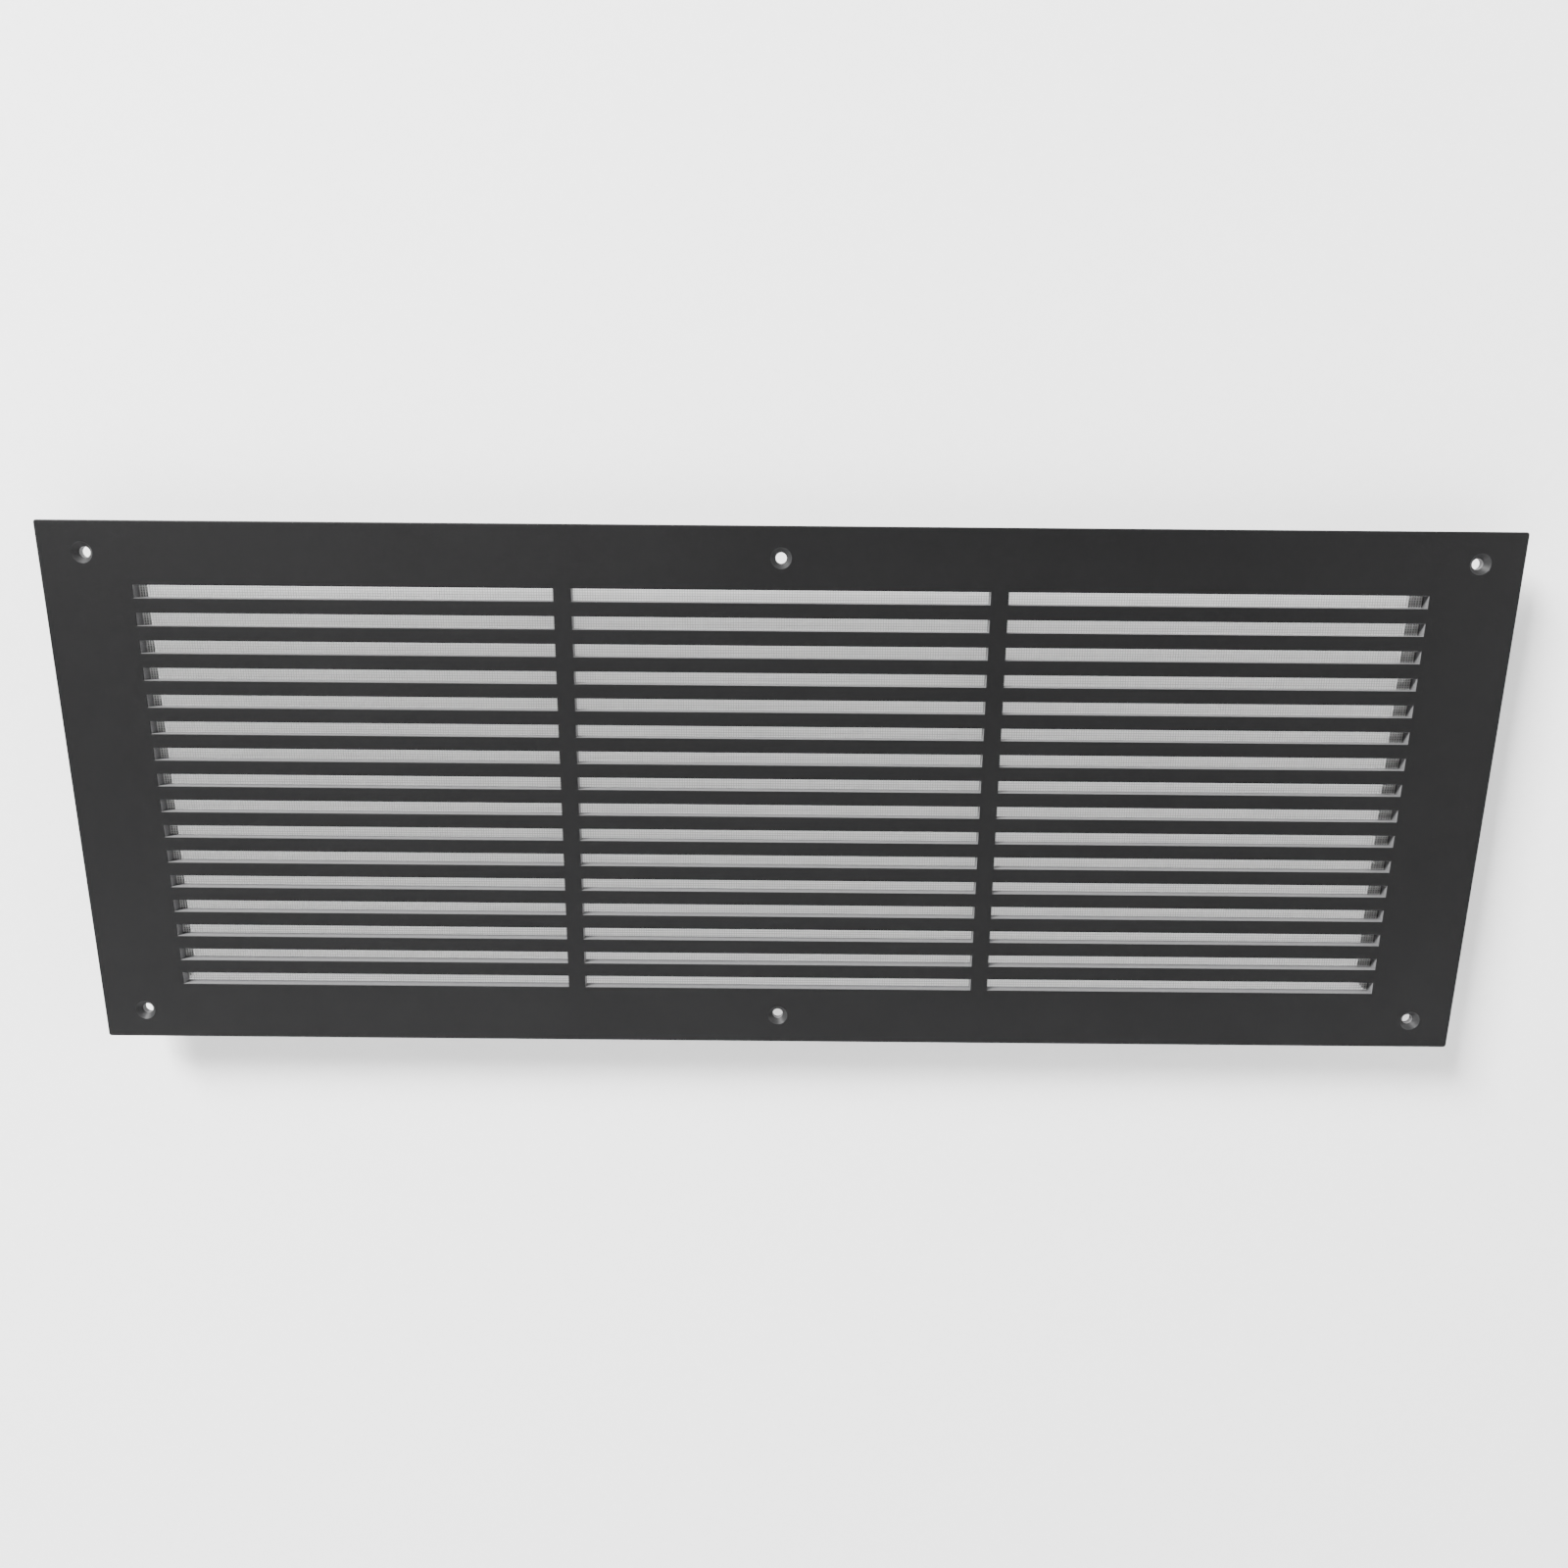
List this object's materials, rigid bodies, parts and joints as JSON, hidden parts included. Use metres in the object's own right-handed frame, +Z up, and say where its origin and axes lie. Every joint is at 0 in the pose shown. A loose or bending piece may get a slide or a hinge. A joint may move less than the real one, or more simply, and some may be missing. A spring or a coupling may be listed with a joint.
{
  "type": "slotted air grille",
  "caption": "Flat rectangular ventilation grille: a dark coated metal plate with long horizontal slots in bays, countersunk screw holes, and a fine screen clamped behind it.",
  "frame": {"origin": "centre of the plate's rear face, which lies against the wall", "axes": "+X to the right seen from the front, +Z up, the slotted front faces -Y, the wall opening is on +Y"},
  "size_m": [0.4, 0.007, 0.15],
  "materials": {
    "plate_coating": "fine textured matt powder coat",
    "screen_wire": "fine bright woven wire",
    "strip_metal": "bare rolled aluminium, drawn lines",
    "stud_metal": "copper-flashed then dulled steel",
    "washer_metal": "spring steel, lightly oiled"
  },
  "bodies": {
    "root": {"front_plate": "plate_coating", "insect_screen": "screen_wire", "side_strip_left": "strip_metal", "side_strip_right": "strip_metal", "top_strip": "strip_metal", "bottom_strip": "strip_metal", "weld_studs": "stud_metal", "push_on_washers": "washer_metal"}
  },
  "joints": []
}
